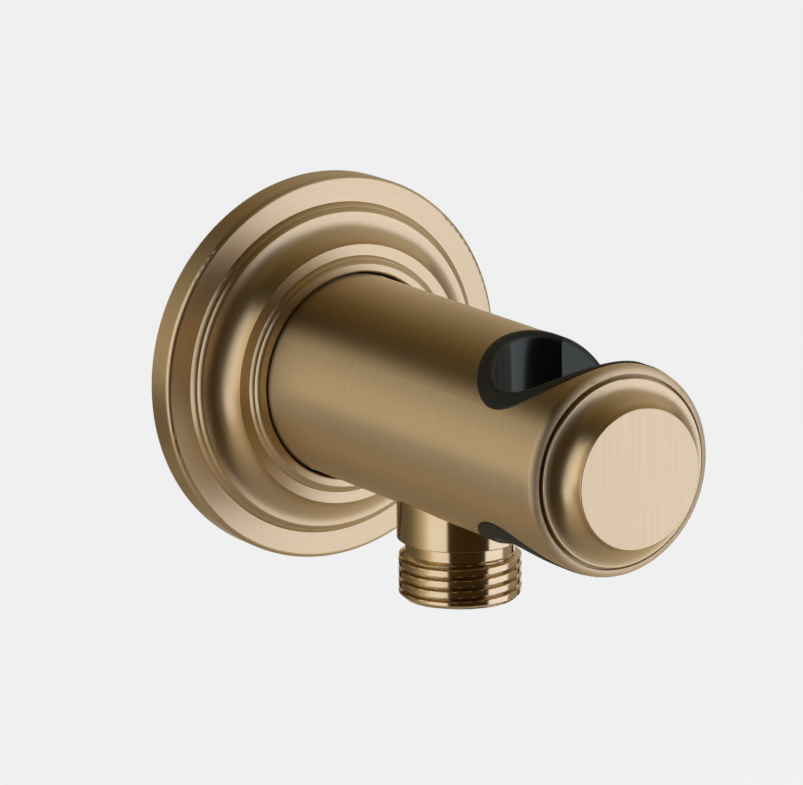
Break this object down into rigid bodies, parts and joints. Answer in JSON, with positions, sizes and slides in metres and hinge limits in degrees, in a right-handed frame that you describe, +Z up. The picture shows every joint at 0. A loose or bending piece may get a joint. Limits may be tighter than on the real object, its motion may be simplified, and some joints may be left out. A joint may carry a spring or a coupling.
{
  "type": "wall outlet elbow",
  "caption": "Round wall outlet elbow with a moulded cover plate, a threaded hose outlet below with a sprung non-return valve, and a lined side slot near its end that holds a hand shower.",
  "frame": {"origin": "on the arm's axis in the plane of the wall, where the wall thread begins", "axes": "+Y into the wall along the wall thread, -Y out along the arm, +Z up, -Z down the hose outlet, +X to the side the holder slot opens to"},
  "size_m": [0.067, 0.1074, 0.067],
  "materials": {
    "brushed_bronze": "brushed, bronze-coloured coating on turned brass",
    "polished_bronze": "polished, bronze-coloured coating on turned brass",
    "raw_brass": "as turned",
    "screw_steel": "stainless, as made",
    "spring_steel": "drawn stainless wire",
    "black_plastic": "moulded, satin to gloss",
    "white_plastic": "moulded acetal",
    "grey_plastic": "moulded acetal",
    "seal_rubber": "moulded"
  },
  "bodies": {
    "outlet": {"wall_nipple": "raw_brass", "wall_nipple_oring_rear": "seal_rubber", "wall_nipple_oring_front": "seal_rubber", "arm_body": "brushed_bronze", "set_screw": "screw_steel", "rosette": "brushed_bronze", "rosette_oring": "seal_rubber", "wall_gasket": "seal_rubber", "end_cap": "brushed_bronze", "end_cap_screw": "screw_steel", "holder_insert": "black_plastic", "outlet_nipple": "polished_bronze", "outlet_nipple_oring": "seal_rubber", "valve_housing": "white_plastic", "valve_oring": "seal_rubber", "valve_guide": "white_plastic", "valve_spring": "spring_steel"},
    "poppet": {"valve_poppet": "grey_plastic", "valve_seal": "seal_rubber"}
  },
  "joints": [
    {"name": "valve_lift", "type": "slide", "parent": "outlet", "child": "poppet", "axis": [0, 0, -1], "range_m": [0, 0.0024], "stiffness_N_per_m": 40, "springref_m": -0.002, "deforming": ["valve_spring"]}
  ]
}
